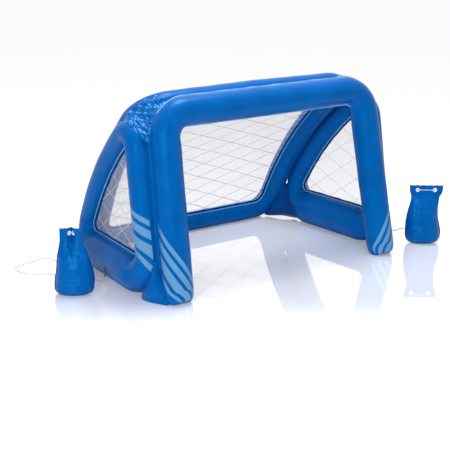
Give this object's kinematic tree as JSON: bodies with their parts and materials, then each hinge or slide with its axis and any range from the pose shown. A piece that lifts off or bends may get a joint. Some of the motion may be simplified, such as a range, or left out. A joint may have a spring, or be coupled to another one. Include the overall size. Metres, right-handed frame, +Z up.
{
  "type": "inflatable football goal",
  "caption": "Inflatable football goal: welded vinyl tube chambers, film windows with a printed net, valves, and weight bags on cords.",
  "frame": {"origin": "on the floor, in the middle of the goal's width and depth", "axes": "+X along the width, towards the right side ring as seen from in front of the mouth; +Y towards the back, so the mouth faces -Y; +Z up"},
  "size_m": [1.8594, 0.8978, 0.8095],
  "materials": {
    "blue_vinyl": "glossy blue vinyl, blown up with air",
    "deep_blue_vinyl": "dark blue vinyl web",
    "clear_film": "clear vinyl film",
    "white_print": "white net lines printed on the film",
    "clear_vinyl": "milky soft vinyl valve",
    "black_vinyl": "black vinyl tab",
    "eyelet_plastic": "white eyelet",
    "white_cord": "white braided cord",
    "bag_vinyl": "glossy blue vinyl bag, filled with sand or water"
  },
  "bodies": {
    "goal": {"front_arch": "blue_vinyl", "rear_ring": "blue_vinyl", "side_ring_left": "blue_vinyl", "side_ring_right": "blue_vinyl", "rear_film": "clear_film", "side_film_left": "clear_film", "side_film_right": "clear_film", "rear_net": "white_print", "side_net_left": "white_print", "side_net_right": "white_print", "corner_gusset_left": "blue_vinyl", "corner_gusset_right": "blue_vinyl", "rear_web_left": "deep_blue_vinyl", "rear_web_right": "deep_blue_vinyl", "valve_seat_front": "clear_vinyl", "valve_seat_rear": "clear_vinyl", "valve_seat_left": "clear_vinyl", "valve_seat_right": "clear_vinyl", "tie_tab_left": "black_vinyl", "tie_tab_right": "black_vinyl", "tab_eyelet_left": "eyelet_plastic", "tab_eyelet_right": "eyelet_plastic", "tab_knot_left": "white_cord", "tab_knot_right": "white_cord", "cord_left": "white_cord", "cord_right": "white_cord"},
    "front_stem": {"valve_stem_front": "clear_vinyl"},
    "rear_stem": {"valve_stem_rear": "clear_vinyl"},
    "left_stem": {"valve_stem_left": "clear_vinyl"},
    "right_stem": {"valve_stem_right": "clear_vinyl"},
    "front_plug": {"valve_plug_front": "clear_vinyl"},
    "rear_plug": {"valve_plug_rear": "clear_vinyl"},
    "left_plug": {"valve_plug_left": "clear_vinyl"},
    "right_plug": {"valve_plug_right": "clear_vinyl"},
    "left_bag": {"bag_left": "bag_vinyl", "bag_eyelet_left_a": "eyelet_plastic", "bag_eyelet_left_b": "eyelet_plastic", "bag_knot_left": "white_cord"},
    "right_bag": {"bag_right": "bag_vinyl", "bag_eyelet_right_a": "eyelet_plastic", "bag_eyelet_right_b": "eyelet_plastic", "bag_knot_right": "white_cord"}
  },
  "joints": [
    {"name": "front_stem_pull", "type": "slide", "parent": "goal", "child": "front_stem", "axis": [0.0075, 0.979, -0.2037], "range_m": [0, 0.01]},
    {"name": "front_plug_turn", "type": "hinge", "parent": "front_stem", "child": "front_plug", "pos_m": [0.54496, -0.28386, 0.21826], "axis": [-0.9993, 0, -0.0368], "range_deg": [0, 150]},
    {"name": "rear_stem_pull", "type": "slide", "parent": "goal", "child": "rear_stem", "axis": [0, 0.6428, 0.766], "range_m": [0, 0.01]},
    {"name": "rear_plug_turn", "type": "hinge", "parent": "rear_stem", "child": "rear_plug", "pos_m": [0.2586, 0.43091, 0.08223], "axis": [0, 0.766, -0.6428], "range_deg": [0, 150]},
    {"name": "left_stem_pull", "type": "slide", "parent": "goal", "child": "left_stem", "axis": [-0.9953, 0.0679, -0.0698], "range_m": [0, 0.01]},
    {"name": "left_plug_turn", "type": "hinge", "parent": "left_stem", "child": "left_plug", "pos_m": [-0.68136, 0.15713, 0.07308], "axis": [0.0696, -0.0047, -0.9976], "range_deg": [0, 150]},
    {"name": "right_stem_pull", "type": "slide", "parent": "goal", "child": "right_stem", "axis": [0.9953, 0.0679, -0.0698], "range_m": [0, 0.01]},
    {"name": "right_plug_turn", "type": "hinge", "parent": "right_stem", "child": "right_plug", "pos_m": [0.68136, 0.15713, 0.07308], "axis": [0.0696, 0.0047, 0.9976], "range_deg": [0, 150]},
    {"name": "left_bag_drag", "type": "slide", "parent": "goal", "child": "left_bag", "axis": [-1, 0, 0], "range_m": [0, 0.1], "deforming": ["cord_left"]},
    {"name": "right_bag_drag", "type": "slide", "parent": "goal", "child": "right_bag", "axis": [1, 0, 0], "range_m": [0, 0.1], "deforming": ["cord_right"]}
  ]
}
